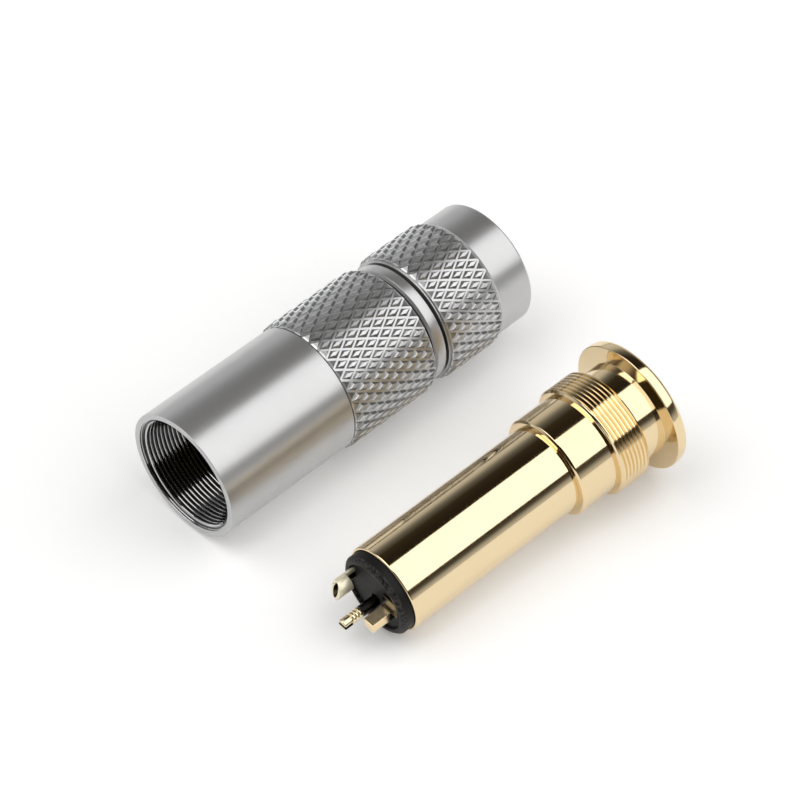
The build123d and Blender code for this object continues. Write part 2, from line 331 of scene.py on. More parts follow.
@dataclass(frozen=True)
class Finish:
    """A surface's looks, which a kind of finish fills in."""

    name: str
    colour: Colour

    def material(self, place: Placement) -> Material:
        """Make the material.

        Args:
            place: The placement of the group that wears it.

        Returns:
            The new material.
        """
        made = bpy.data.materials.new(self.name)
        tree = ShaderTree(made)
        self.fill(tree, tree.local(place))
        return made

    def fill(self, tree: ShaderTree, local: Socket) -> None:
        """Add the surface to a shader tree, each kind of finish in its own way."""
        raise NotImplementedError


@dataclass(frozen=True)
class MetalFinish(Finish):
    """A metal surface: its colour, its gloss and the fine marks of its making, with any shade painted
    into its colour.
    """

    deep_colour: Colour
    roughness: float
    roughness_spread: float = 0.06
    mark: Mark = Mark.DRAWN
    mark_size: float = 0.06
    mark_depth: float = 0.001
    cloud_size: float = 3.0
    metal_share: float = 1.0
    painted_shades: tuple[PaintedShade, ...] = ()

    def fill(self, tree: ShaderTree, local: Socket) -> None:
        """Add the metal to a shader tree.

        Args:
            tree: The tree.
            local: The place on the group, in millimetres.
        """
        along, radius = tree.turned(local)
        marks = self.mark.pattern(tree, local, self.mark_size)
        clouds = tree.noise(local, self.cloud_size)
        colour = tree.blend(clouds, self.colour, self.deep_colour)
        # Painted shade: each of these blends the colour towards its own darker or brighter colour, by the
        # place along the axis or the radius.
        for shade in self.painted_shades:
            share = tree.step(radius if shade.outward else along, shade.start, shade.end)
            colour = tree.blend(share, colour, shade.colour)
        tree.surface(
            Base_Color=colour,
            Roughness=self.roughness + self.roughness_spread * (marks + clouds - 1.0),
            Metallic=self.metal_share,
            Normal=tree.bump(marks, self.mark_depth),
        )


@dataclass(frozen=True)
class PlasticFinish(Finish):
    """Moulded black plastic, with pale scuffs where an edge stands out."""

    roughness: float
    grain_size: float
    grain_depth: float
    grain_gloss: float = 0.1
    specular: float = 0.2
    scuff_colour: Colour = (0.055, 0.052, 0.048)
    scuff_start: float = 0.0
    scuff_end: float = 0.0
    scuff_softness: float = 0.15
    scuff_size: float = 0.35
    scuff_detail: float = 5.0
    scuff_range: tuple[float, float] = (0.42, 0.68)
    scuff_gloss: float = 0.2
    scuff_height: float = 0.5

    def fill(self, tree: ShaderTree, local: Socket) -> None:
        """Add the plastic to a shader tree.

        Args:
            tree: The tree.
            local: The place on the group, in millimetres.
        """
        height = tree.noise(local, self.grain_size)
        gloss = self.roughness + self.grain_gloss * (height - 0.5)
        colour = (*self.colour, 1.0)
        if self.scuff_end > self.scuff_start:
            scuffs = self.scuffs(tree, local)
            colour = tree.blend(scuffs, self.colour, self.scuff_colour)
            gloss = gloss + self.scuff_gloss * scuffs
            height = height + self.scuff_height * scuffs
        normal = tree.bump(height, self.grain_depth)
        tree.surface(Base_Color=colour, Roughness=gloss, Specular_IOR_Level=self.specular, Normal=normal)

    def scuffs(self, tree: ShaderTree, local: Socket) -> Signal:
        """Add the scuffs to a shader tree.

        Args:
            tree: The tree.
            local: The place on the group, in millimetres.

        Returns:
            How scuffed a place is, from 0 to 1.
        """
        soft = self.scuff_softness * (self.scuff_end - self.scuff_start)
        along, _ = tree.turned(local)
        rising = tree.step(along, self.scuff_start - soft, self.scuff_start + soft)
        falling = tree.step(along, self.scuff_end - soft, self.scuff_end + soft)
        patches = tree.noise(local, self.scuff_size, self.scuff_detail)
        return tree.step(patches, *self.scuff_range) * rising * (1.0 - falling)


SATIN_NICKEL = MetalFinish(
    "satin_nickel", (0.55, 0.55, 0.552), (0.52, 0.52, 0.522), roughness=0.3, roughness_spread=0.04,
    mark=Mark.BLASTED, mark_size=0.05, mark_depth=0.0008, metal_share=0.82,
)
CUT_NICKEL = MetalFinish(
    "cut_nickel", (0.6, 0.6, 0.602), (0.54, 0.54, 0.542), roughness=0.3,
    mark=Mark.BLASTED, mark_size=0.08, mark_depth=0.002, metal_share=0.85,
    # Painted shade: the knurl's flanks, between the groove bottoms and the blunt tops, are darkened to
    # 0.28 to stand in for the dark they reflect; the tops and groove bottoms keep the bright colour.
    painted_shades=(
        PaintedShade((0.28, 0.284, 0.288), 7.53, 7.57, outward=True),
        PaintedShade((0.6, 0.6, 0.602), 7.73, 7.78, outward=True),
    ),
)
THREADED_NICKEL = MetalFinish(
    "threaded_nickel", (0.62, 0.62, 0.622), (0.55, 0.55, 0.552), roughness=0.13, roughness_spread=0.04,
    mark=Mark.TURNED, mark_size=0.04, mark_depth=0.0005,
    # Painted shade: the roots of the mouth's thread are darkened to 0.07, and the counterbore wall past
    # them is bright again. From 5 to 8.5 mm along the axis everything with this finish fades to near
    # black: deep in the mouth, in the bores and in the relief groove behind the knurl.
    painted_shades=(
        PaintedShade((0.07, 0.07, 0.07), 6.42, 6.58, outward=True),
        PaintedShade((0.6, 0.6, 0.602), 6.68, 6.76, outward=True),
        PaintedShade((0.02, 0.02, 0.02), 5.0, 8.5),
    ),
)
GOLD_PLATE = MetalFinish(
    "gold_plate", (0.82, 0.668, 0.43), (0.8, 0.645, 0.405), roughness=0.08, roughness_spread=0.03,
    mark_size=0.12, mark_depth=0.0003,
)
TURNED_GOLD = MetalFinish(
    "turned_gold", (0.82, 0.665, 0.42), (0.8, 0.635, 0.385), roughness=0.09, roughness_spread=0.03,
    mark=Mark.TURNED, mark_size=0.05, mark_depth=0.0002,
)
# Painted highlight: a pale, half-matt gold, paler than the other terminals, keeps the whole cup bright as
# if it caught a broad highlight.
CUP_GOLD = MetalFinish("cup_gold", (0.95, 0.89, 0.68), (0.9, 0.82, 0.6), 0.36, metal_share=0.5)
# Painted shade: a near-black gold for the inside of the pin's slot and of the cup.
SHADE_GOLD = MetalFinish("painted_shade_gold", (0.08, 0.065, 0.035), (0.05, 0.04, 0.022), 0.4)
PIN_GOLD = MetalFinish(
    "pin_gold", (0.84, 0.74, 0.52), (0.76, 0.64, 0.42), roughness=0.22,
    # Painted shade: from -3.6 to -3.1 mm along the axis the pin turns nearly black, so its inner shank by
    # the black block looks shaded and only the slotted outer end shows gold.
    painted_shades=(PaintedShade((0.012, 0.011, 0.01), -3.6, -3.1),),
)
LUG_GOLD = MetalFinish(
    "lug_gold", (0.9, 0.73, 0.47), (0.84, 0.66, 0.4), roughness=0.24,
    # Painted shade: the lug's foot by the block, past -1.75 to -1.45 mm along the axis, is darkened to a
    # deep brown.
    painted_shades=(PaintedShade((0.06, 0.047, 0.026), -1.75, -1.45),),
)
SPRING_BRONZE = MetalFinish("spring_bronze", (0.7, 0.5, 0.3), (0.62, 0.42, 0.24), 0.25)
WASHER_STEEL = MetalFinish(
    "washer_steel", (0.5, 0.5, 0.505), (0.45, 0.45, 0.455), 0.34, mark=Mark.TURNED, mark_size=0.05
)
BLACK_INSULATOR = PlasticFinish(
    "black_insulator", (0.006, 0.0055, 0.005), 0.45, 0.08, 0.004, scuff_start=-1.42, scuff_end=-0.9
)
BLACK_FLOOR = PlasticFinish("black_floor", (0.02, 0.02, 0.019), 0.55, 0.12, 0.006)
BLACK_LINING = PlasticFinish("black_lining", (0.008, 0.008, 0.008), 0.5, 0.1, 0.004)


@dataclass(frozen=True)
class Corner:
    """A corner of a turned outline, in millimetres, and the radius that eases it."""

    along: float
    radius: float
    ease: float = 0.03


@dataclass(frozen=True)
class Thread:
    """A fine thread between two places along the axis, with chamfered ends."""

    start: float
    end: float
    pitch_radius: float
    half_depth: float
    steepness: float
    fullness: float
    start_limit: float
    end_limit: float
    inside: bool = False
    pitch: float = 0.5
    samples: int = 12

    def ridge(self) -> list[tuple[float, float]]:
        """Work out one ridge's outline, a wave with its crest and root cut flat.

        Returns:
            Each point's place along the axis and its radius.
        """
        points = []
        for sample in range(self.samples + 1):
            share = sample / self.samples
            wave = self.fullness - math.cos(2.0 * math.pi * share)
            height = max(-1.0, min(1.0, self.steepness * wave))
            points.append((share * self.pitch, self.pitch_radius + height * self.half_depth))
        return points

    def limited(self, along: float, radius: float) -> float:
        """Keep a radius within the chamfers of the thread's two ends.

        Args:
            along: The place along the axis.
            radius: The radius there.

        Returns:
            The radius that is left.
        """
        into_start = max(0.0, along - self.start)
        into_end = max(0.0, self.end - along)
        if self.inside:
            return max(radius, self.start_limit - into_start, self.end_limit - into_end)
        return min(radius, self.start_limit + into_start, self.end_limit + into_end)


@dataclass(frozen=True)
class Knurl:
    """A diamond knurl: rows of blunt four-sided pyramids between crossing grooves."""

    start: float
    rows: int
    row_pitch: float = 1.08
    count: int = 36
    tip_radius: float = 7.8
    depth: float = 0.42
    blunt: float = 0.2
    rim_height: float = 0.09
    groove_flat: float = 0.2
    skin_radius: float = 7.3

    @property
    def end(self) -> float:
        """Give the place where the last row ends."""
        return self.start + self.rows * self.row_pitch

    @property
    def root_radius(self) -> float:
        """Give the radius of the bottom of the grooves."""
        return self.tip_radius - self.depth

    @property
    def half_step(self) -> float:
        """Give half the angle between two pyramids of a row."""
        return math.pi / self.count

    @property
    def half_width(self) -> float:
        """Give half a pyramid's width."""
        return self.root_radius * math.sin(self.half_step)

    @property
    def apex_height(self) -> float:
        """Give the height that the pyramids would have if they were sharp."""
        return self.depth / (1.0 - self.blunt)

    def covers(self, along: float, radius: float) -> bool:
        """Tell whether a face, by its place along the axis and its radius, is the knurl's."""
        return self.start < along < self.end and radius > self.skin_radius


def linked(name: str, data: bpy.types.ID) -> Object:
    """Put a new object into the scene.

    Args:
        name: The object's name.
        data: Its mesh, light or camera.

    Returns:
        The object.
    """
    made = bpy.data.objects.new(name, data)
    bpy.context.scene.collection.objects.link(made)
    return made


class Workpiece:
    """A mesh in millimetres about the X axis, which becomes one piece of the part."""

    def __init__(self, steps: int = ROUND_STEPS) -> None:
        """Start with an empty mesh, whose full turns have a number of steps."""
        self.mesh = bmesh.new()
        self.steps = steps

    def everything(self) -> list:
        """List all the mesh's vertices, edges and faces."""
        return [*self.mesh.verts, *self.mesh.edges, *self.mesh.faces]

    def data(self, name: str) -> bpy.types.Mesh:
        """Turn the work into mesh data and free it.

        Args:
            name: The data's name.

        Returns:
            The new data.
        """
        made = bpy.data.meshes.new(name)
        self.mesh.to_mesh(made)
        self.mesh.free()
        return made

    def add(self, other: "Workpiece") -> None:
        """Take over another workpiece's mesh.

        Args:
            other: The other workpiece, which is freed.
        """
        carrier = other.data("carrier")
        self.mesh.from_mesh(carrier)
        bpy.data.meshes.remove(carrier)

    def wire(self, points: Sequence[tuple[float, float]], closed: bool = False) -> list:
        """Draw an outline above the axis.

        Args:
            points: Each point's place along the axis and its radius.
            closed: Whether the last point joins the first.

        Returns:
            The outline's vertices.
        """
        verts = [self.mesh.verts.new((along, 0.0, radius)) for along, radius in points]
        for pair in zip(verts, verts[1:]):
            self.mesh.edges.new(pair)
        if closed:
            self.mesh.edges.new((verts[-1], verts[0]))
        return verts

    def bevel(self, geom: list, width: float, segments: int, affect: str, clamp: bool = False) -> None:
        """Bevel some edges or corners.

        Args:
            geom: The edges or vertices.
            width: How far the bevel reaches from them.
            segments: How many faces lie across it.
            affect: Whether edges or vertices are bevelled.
            clamp: Whether the bevels stop where they meet.
        """
        bmesh.ops.bevel(
            self.mesh,
            geom=geom,
            offset=width,
            offset_type="OFFSET",
            segments=segments,
            profile=0.5,
            affect=affect,
            clamp_overlap=clamp,
            material=-1,
        )

    def spin(self, geom: list, angle: float, steps: int, **options: object) -> None:
        """Spin a part of the mesh about the axis.

        Args:
            geom: The part's vertices, edges and faces.
            angle: How far it goes round.
            steps: How many steps that takes.
            options: Any other settings of the operator.
        """
        centre, axis = (0.0, 0.0, 0.0), (1.0, 0.0, 0.0)
        bmesh.ops.spin(self.mesh, geom=geom, cent=centre, axis=axis, angle=angle, steps=steps, **options)

    def turn(self, *corners: Corner, closed: bool = False) -> None:
        """Ease an outline's corners and spin it about the axis.

        Args:
            corners: The outline's corners; the ends of an open one aren't eased.
            closed: Whether the last corner joins the first.
        """
        verts = self.wire([(corner.along, corner.radius) for corner in corners], closed)
        for place, (vert, corner) in enumerate(zip(verts, corners)):
            at_end = not closed and place in (0, len(corners) - 1)
            if corner.ease and not at_end:
                self.bevel([vert], corner.ease, 4 if corner.ease > WIDE_EASE else 3, "VERTICES")
        edges = [edge for edge in self.mesh.edges if edge.is_wire]
        points = dict.fromkeys(vert for edge in edges for vert in edge.verts)
        self.spin([*points, *edges], 2.0 * math.pi, self.steps, use_merge=True)

    def cut(self, point: Sequence[float], outward: Sequence[float]) -> list:
        """Cut away what lies beyond a plane.

        Args:
            point: A point on the plane.
            outward: The direction in which all is cut away.

        Returns:
            The edges along the cut.
        """
        result = bmesh.ops.bisect_plane(
            self.mesh,
            geom=self.everything(),
            dist=MERGE_DISTANCE,
            plane_co=point,
            plane_no=outward,
            clear_outer=True,
        )
        return [part for part in result["geom_cut"] if isinstance(part, bmesh.types.BMEdge)]

    def trim(self, start: float, end: float | None = None) -> None:
        """Cut the mesh square to the axis.

        Args:
            start: Where it starts afterwards.
            end: Where it ends, if that end is cut too.
        """
        self.cut((start, 0.0, 0.0), (-1.0, 0.0, 0.0))
        if end is not None:
            self.cut((end, 0.0, 0.0), (1.0, 0.0, 0.0))

    def bridge(self, *joints: float) -> None:
        """Join the two open rims that lie at each of some places.

        Args:
            joints: The places along the axis.
        """
        for along in joints:
            rims = [
                edge
                for edge in self.mesh.edges
                if edge.is_boundary
                and all(abs(vert.co.x - along) < JOINT_REACH for vert in edge.verts)
            ]
            bmesh.ops.bridge_loops(self.mesh, edges=rims)

    def merge(self, distance: float = MERGE_DISTANCE) -> None:
        """Merge vertices that lie within a distance of each other."""
        bmesh.ops.remove_doubles(self.mesh, verts=self.mesh.verts, dist=distance)

    def move(self, offset: Sequence[float], angle: float = 0.0, mirrored: bool = False) -> "Workpiece":
        """Turn the mesh about the axis and shift it.

        Args:
            offset: How far it goes along the axis, across it and up.
            angle: How far it turns before that.
            mirrored: Whether its two ends change places first.

        Returns:
            The workpiece itself.
        """
        flip = Matrix.Diagonal((-1.0 if mirrored else 1.0, 1.0, 1.0, 1.0))
        matrix = Matrix.Translation(offset) @ Matrix.Rotation(angle, 4, "X") @ flip
        bmesh.ops.transform(self.mesh, matrix=matrix, verts=self.mesh.verts)
        return self

    def paint(self, index: int, wanted: Callable[[float, float], bool]) -> None:
        """Give some faces another of the piece's materials.

        Args:
            index: The material's number on the piece.
            wanted: Takes a face's place along the axis and its radius.
        """
        for face in self.mesh.faces:
            middle = face.calc_center_median()
            if wanted(middle.x, math.hypot(middle.y, middle.z)):
                face.material_index = index

    def ease(self, width: float) -> None:
        """Round the sharp edges of a closed mesh by a width."""
        sharp = [edge for edge in self.mesh.edges if edge.calc_face_angle(0.0) > SHARP_ANGLE]
        self.bevel(sharp, width, 2, "EDGES", clamp=True)

    def shape(self, name: str, place: Placement) -> Object:
        """Close the work and lay it in its place.

        Args:
            name: The new piece's name.
            place: The placement of its group.

        Returns:
            The piece.
        """
        self.merge()
        bmesh.ops.transform(self.mesh, matrix=place.matrix(), verts=self.mesh.verts)
        return self.piece(name)

    def piece(self, name: str) -> Object:
        """Make the object of a mesh that is in its place, facing outwards and evenly shaded.

        Args:
            name: The new piece's name.

        Returns:
            The piece.
        """
        bmesh.ops.recalc_face_normals(self.mesh, faces=self.mesh.faces)
        for face in self.mesh.faces:
            face.smooth = True
        for edge in self.mesh.edges:
            edge.smooth = edge.is_manifold and edge.calc_face_angle() < SHARP_ANGLE
        made = linked(name, self.data(name))
        made.modifiers.new("even_shading", "WEIGHTED_NORMAL").keep_sharp = True
        return made


def screwed(thread: Thread) -> Workpiece:
    """Spin a thread's ridge along its helix and trim it square at both ends.

    Args:
        thread: The thread's sizes.

    Returns:
        The thread's open skin.
    """
    work = Workpiece()
    first = thread.start - SPARE_TURNS * thread.pitch
    verts = work.wire([(first + along, radius) for along, radius in thread.ridge()])
    advance = (thread.pitch / ROUND_STEPS, 0.0, 0.0)
    work.spin([*verts, *work.mesh.edges], 2.0 * math.pi, ROUND_STEPS, dvec=advance)
    first_turn = work.everything()
    turns = math.ceil((thread.end - thread.start) / thread.pitch) + SPARE_TURNS
    for turn in range(1, turns + 1):
        copy = bmesh.ops.duplicate(work.mesh, geom=first_turn)
        verts = [part for part in copy["geom"] if isinstance(part, bmesh.types.BMVert)]
        bmesh.ops.translate(work.mesh, vec=(turn * thread.pitch, 0.0, 0.0), verts=verts)
    work.merge()
    work.trim(thread.start, thread.end)
    for vert in work.mesh.verts:
        radius = math.hypot(vert.co.y, vert.co.z)
        vert.co.yz = vert.co.yz * (thread.limited(vert.co.x, radius) / radius)
    work.merge()
    return work


def knurl_cell(knurl: Knurl, share: float) -> tuple[Workpiece, list]:
    """Build one pyramid of a knurl above the axis.

    Args:
        knurl: The knurl's sizes.
        share: How much of the way to its sharp tip the pyramid goes.

    Returns:
        The pyramid, and the vertices of its blunt top.
    """
    work = Workpiece()
    bmesh.ops.create_circle(work.mesh, cap_ends=True, segments=4, radius=1.0)
    bmesh.ops.scale(
        work.mesh, vec=(knurl.row_pitch, knurl.half_width, 1.0), verts=work.mesh.verts
    )
    for vert in work.mesh.verts:
        vert.co.z = math.sqrt(knurl.root_radius**2 - vert.co.y**2)
    diagonal = math.hypot(knurl.row_pitch, knurl.half_width)
    inner_radius = knurl.row_pitch * knurl.half_width / diagonal
    base = list(work.mesh.faces)
    bmesh.ops.inset_individual(work.mesh, faces=base, thickness=share * inner_radius)
    top = list(base[0].verts)
    for vert in top:
        vert.co.z = knurl.root_radius + share * knurl.apex_height
    return work, top


def knurl_rim_cell(knurl: Knurl) -> Workpiece:
    """Build the half pyramid of a knurl's first row, with its chamfered end.

    Args:
        knurl: The knurl's sizes.

    Returns:
        The half pyramid, which starts at the middle of its row.
    """
    rise = knurl.apex_height - knurl.rim_height
    reach = rise / (1.0 + knurl.apex_height / knurl.row_pitch)
    work, top = knurl_cell(knurl, 1.0 - reach / knurl.row_pitch)
    rim_width = knurl.half_width * (1.0 - knurl.rim_height / knurl.apex_height)
    for vert in top:
        if abs(vert.co.y) > MERGE_DISTANCE:
            vert.co.y = math.copysign(rim_width, vert.co.y)
            vert.co.z = knurl.root_radius + knurl.rim_height
    work.trim(0.0)
    return work


def knurled(knurl: Knurl) -> Workpiece:
    """Cover a stretch of a bar with a knurl.

    Args:
        knurl: The knurl's sizes.

    Returns:
        The knurl's open skin.
    """
    skin = Workpiece()
    copies = knurl.count - 1
    for row in range(knurl.rows + 1):
        if row in (0, knurl.rows):
            work = knurl_rim_cell(knurl)
        else:
            work, _ = knurl_cell(knurl, 1.0 - knurl.blunt)
        work.spin(work.everything(), copies * 2.0 * knurl.half_step, copies, use_duplicate=True)
        place = (knurl.start + row * knurl.row_pitch, 0.0, 0.0)
        skin.add(work.move(place, (row % 2) * knurl.half_step, mirrored=row == knurl.rows))
    skin.merge()
    bmesh.ops.recalc_face_normals(skin.mesh, faces=skin.mesh.faces)
    bottom = knurl.root_radius + MERGE_DISTANCE
    grooves = [
        edge
        for edge in skin.mesh.edges
        if edge.is_manifold and all(math.hypot(*vert.co.yz) < bottom for vert in edge.verts)
    ]
    skin.bevel(grooves, knurl.groove_flat, 1, "EDGES")
    skin.trim(knurl.start, knurl.end)
    return skin


def copied(node: str, ease: float) -> Workpiece:
    """Copy a node's mesh, join its triangles to flat faces and ease its sharp edges.

    Args:
        node: The node's name.
        ease: The width of the eased edges, in millimetres.

    Returns:
        The copy, which is in its place already.
    """
    work = Workpiece()
    work.mesh.from_mesh(frame["nodes"][node].data)
    work.merge(MERGE_DISTANCE * MM)
    verts, edges = work.mesh.verts, work.mesh.edges
    bmesh.ops.dissolve_limit(work.mesh, angle_limit=FLAT_ANGLE, verts=verts, edges=edges)
    work.ease(ease * MM)
    return work


def fitted(piece: Object, node: str, slot: str, *materials: Material) -> None:
    """Let a piece stand for its node and dress it.

    Args:
        piece: The new piece.
        node: The node that it replaces.
        slot: The record's material slot; not used.
        materials: The piece's materials, in the order of its faces' numbers.
    """
    for material in materials:
        piece.data.materials.append(material)
    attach(piece, BODY)
    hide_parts(node)
    logger.info("%s replaces %s with %d faces", piece.name, node, len(piece.data.polygons))


def dressed(material: Material, *nodes: str) -> None:
    """Give nodes that stay as they are a better material.

    Args:
        material: The new material.
        nodes: The nodes' names.
    """
    for node in nodes:
        for slot in frame["nodes"][node].material_slots:
            slot.material = material
        logger.info("%s keeps its form and wears %s", node, material.name)


@dataclass
class Shell:
    """The satin shell: barrel, tail nut, and what they hold."""

    sleeve_radius: float = 7.5
    sleeve_end: float = 17.52
    mouth_radius: float = 6.8
    mouth_depth: float = 0.4
    counterbore_depth: float = 0.26
    rim_ease: float = 0.07
    fine_ease: float = 0.06
    seam_radius: float = 7.2
    thread_length: float = 8.0
    thread_radius: float = 6.475
    thread_half_depth: float = 0.15
    thread_steepness: float = 1.6
    thread_chamfer: float = 0.08
    front_bore_radius: float = 6.1
    front_bore_end: float = 12.2
    rear_bore_radius: float = 5.75
    inside_radius: float = 6.85
    inside_end: float = 36.0
    knurl_start: float = 17.65
    knurl_rows: int = 11
    knurl_border_radius: float = 7.5
    knurl_border_width: float = 0.3
    seam_width: float = 0.04
    groove_radius: float = 6.75
    groove_width: float = 0.6
    groove_slope: float = 0.2
    neck_radius: float = 7.15
    neck_end: float = 31.52
    stub_radius: float = 6.3
    stub_relief_radius: float = 5.9
    stub_relief_end: float = 32.08
    stub_end: float = 37.08
    stub_end_ease: float = 0.18
    stub_bore_radius: float = 5.25
    stub_lip: float = 0.8
    nut_start: float = 31.88
    nut_border_radius: float = 7.25
    nut_knurl_start: float = 32.08
    nut_knurl_rows: int = 7
    nut_thread_radius: float = 6.35
    nut_thread_ease: float = 0.1
    nut_cavity_radius: float = 5.6
    nut_cavity_end: float = 38.78
    cone_radius: float = 4.25
    cone_end: float = 42.64
    collar_radius: float = 7.35
    collar_round: float = 0.3
    cable_hole_radius: float = 3.6
    cable_hole_chamfer: float = 0.25
    cable_hole_ease: float = 0.05
    end: float = 44.54

    @property
    def place(self) -> Placement:
        """Give the shell's placement, from its open mouth."""
        middle = self.mouth_depth + self.thread_length / 2.0
        return Placement.from_mount("barrel_thread", middle, reverse=True)

    def barrel(self) -> Object:
        """Build the barrel: sleeve, knurl, neck and stub, and the thread in its mouth.

        Returns:
            The barrel.
        """
        thread_end = self.mouth_depth + self.thread_length
        stub_lip_start = self.stub_end - self.stub_lip
        knurl = Knurl(self.knurl_start, self.knurl_rows)
        groove_end = knurl.end + self.groove_width
        thread = Thread(
            self.counterbore_depth,
            thread_end,
            self.thread_radius,
            self.thread_half_depth,
            self.thread_steepness,
            fullness=0.0,
            start_limit=self.thread_radius + self.thread_chamfer,
            end_limit=self.thread_radius,
            inside=True,
        )
        work = Workpiece()
        work.turn(
            Corner(self.counterbore_depth, self.mouth_radius),
            Corner(0.0, self.mouth_radius, self.fine_ease),
            Corner(0.0, self.sleeve_radius, self.rim_ease),
            Corner(self.sleeve_end, self.sleeve_radius),
            Corner(self.sleeve_end, self.seam_radius, ease=0.0),
            Corner(self.knurl_start, self.seam_radius),
        )
        work.turn(
            Corner(knurl.end, self.knurl_border_radius),
            Corner(knurl.end + self.seam_width, self.groove_radius),
            Corner(groove_end, self.groove_radius),
            Corner(groove_end + self.groove_slope, self.neck_radius),
            Corner(self.neck_end, self.neck_radius, self.fine_ease),
            Corner(self.neck_end, self.stub_relief_radius),
            Corner(self.stub_relief_end, self.stub_relief_radius),
            Corner(self.stub_relief_end, self.stub_radius),
            Corner(self.stub_end, self.stub_radius, self.stub_end_ease),
            Corner(self.stub_end, self.stub_bore_radius),
            Corner(stub_lip_start, self.stub_bore_radius),
            Corner(stub_lip_start, self.rear_bore_radius),
            Corner(self.front_bore_end, self.rear_bore_radius),
            Corner(self.front_bore_end, self.front_bore_radius),
            Corner(thread_end, self.front_bore_radius),
        )
        work.add(knurled(knurl))
        work.add(screwed(thread))
        work.bridge(self.counterbore_depth, self.knurl_start, knurl.end, thread_end)
        work.paint(1, knurl.covers)
        # Painted shade: the mouth's thread and bores, and with them the relief groove behind the knurl,
        # wear the threaded finish, whose colour is darkened where shade falls.
        work.paint(2, lambda along, radius: radius < self.inside_radius and along < self.inside_end)
        return work.shape("barrel_turned", self.place)

    def tail_nut(self) -> Object:
        """Build the tail nut: knurl, collar, cable hole and the cavity behind it.

        Returns:
            The tail nut.
        """
        knurl = Knurl(self.nut_knurl_start, self.nut_knurl_rows)
        chamfer_radius = self.cable_hole_radius + self.cable_hole_chamfer
        chamfer_start = self.end - self.cable_hole_chamfer
        work = Workpiece()
        work.turn(
            Corner(knurl.end, self.knurl_border_radius),
            Corner(knurl.end + self.knurl_border_width, self.collar_radius),
            Corner(self.end, self.collar_radius, self.collar_round),
            Corner(self.end, chamfer_radius, self.cable_hole_ease),
            Corner(chamfer_start, self.cable_hole_radius, self.cable_hole_ease),
            Corner(self.cone_end, self.cable_hole_radius),
            Corner(self.cone_end, self.cone_radius),
            Corner(self.nut_cavity_end, self.nut_cavity_radius),
            Corner(self.stub_end, self.nut_cavity_radius),
            Corner(self.stub_end, self.nut_thread_radius),
            Corner(self.nut_start, self.nut_thread_radius, self.nut_thread_ease),
            Corner(self.nut_start, self.nut_border_radius, self.fine_ease),
            Corner(self.nut_knurl_start, self.nut_border_radius),
        )
        work.add(knurled(knurl))
        work.bridge(self.nut_knurl_start, knurl.end)
        work.paint(1, knurl.covers)
        return work.shape("tail_nut_turned", self.place)

    def build(self) -> None:
        """Build and dress the shell's pieces."""
        satin, cut = SATIN_NICKEL.material(self.place), CUT_NICKEL.material(self.place)
        threaded = THREADED_NICKEL.material(self.place)
        fitted(self.barrel(), "barrel", "satin_shell", satin, cut, threaded)
        fitted(self.tail_nut(), "tail_nut", "satin_shell", satin, cut)
        dressed(BLACK_LINING.material(self.place), "insulating_liner", "cable_collet")
        dressed(WASHER_STEEL.material(self.place), "thrust_washer")


@dataclass
class Insert:
    """The gold insert's metal body: flanged bushing and thin tube."""

    tube_radius: float = 5.1
    tube_bore_radius: float = 4.8
    tube_length: float = 22.5
    tube_round: float = 0.2
    tube_back_ease: float = 0.04
    tube_bore_ease: float = 0.02
    fine_ease: float = 0.05
    spigot_radius: float = 4.775
    spigot_start: float = 18.4
    body_radius: float = 5.9
    body_chamfer: float = 0.22
    body_end: float = 27.35
    thread_end: float = 31.35
    thread_radius: float = 6.45
    thread_half_depth: float = 0.12
    thread_steepness: float = 1.3
    thread_fullness: float = 0.25
    thread_relief: float = 0.12
    neck_radius: float = 5.6
    flange_start: float = 34.35
    flange_radius: float = 7.7
    flange_round: float = 0.5
    flange_near_round: float = 0.12
    bore_radius: float = 3.25
    bore_countersink: float = 0.5
    end: float = 35.75

    @property
    def place(self) -> Placement:
        """Give the insert's placement, from the open end of its tube."""
        bore_middle = (self.spigot_start + self.end - self.bore_countersink) / 2.0
        return Placement.from_mount("plug_bore", bore_middle)

    def bushing(self) -> Object:
        """Build the bushing: spigot, body, thread, neck, flange and plug bore.

        Returns:
            The bushing.
        """
        thread = Thread(
            self.body_end,
            self.thread_end,
            self.thread_radius,
            self.thread_half_depth,
            self.thread_steepness,
            self.thread_fullness,
            start_limit=self.thread_radius - self.thread_relief,
            end_limit=self.thread_radius - self.thread_relief,
        )
        work = Workpiece()
        work.turn(
            Corner(self.thread_end, self.neck_radius),
            Corner(self.flange_start, self.neck_radius),
            Corner(self.flange_start, self.flange_radius, self.flange_near_round),
            Corner(self.end, self.flange_radius, self.flange_round),
            Corner(self.end, self.bore_radius + self.bore_countersink, self.fine_ease),
            Corner(self.end - self.bore_countersink, self.bore_radius, self.fine_ease),
            Corner(self.spigot_start, self.bore_radius),
            Corner(self.spigot_start, self.spigot_radius),
            Corner(self.tube_length, self.spigot_radius, ease=0.0),
            Corner(self.tube_length, self.body_radius - self.body_chamfer),
            Corner(self.tube_length + self.body_chamfer, self.body_radius, self.fine_ease),
            Corner(self.body_end, self.body_radius),
        )
        work.add(screwed(thread))
        work.bridge(self.body_end, self.thread_end)
        return work.shape("front_bushing_turned", self.place)

    def tube(self) -> Object:
        """Build the thin tube with its rounded rim.

        Returns:
            The tube.
        """
        work = Workpiece()
        work.turn(
            Corner(0.0, self.tube_bore_radius, self.fine_ease),
            Corner(0.0, self.tube_radius, self.tube_round),
            Corner(self.tube_length, self.tube_radius, self.tube_back_ease),
            Corner(self.tube_length, self.tube_bore_radius, self.tube_bore_ease),
            closed=True,
        )
        return work.shape("housing_tube_rolled", self.place)

    def build(self) -> None:
        """Build and dress the bushing and the tube."""
        fitted(self.bushing(), "front_bushing", "gold_plate", TURNED_GOLD.material(self.place))
        fitted(self.tube(), "housing_tube", "gold_plate", GOLD_PLATE.material(self.place))


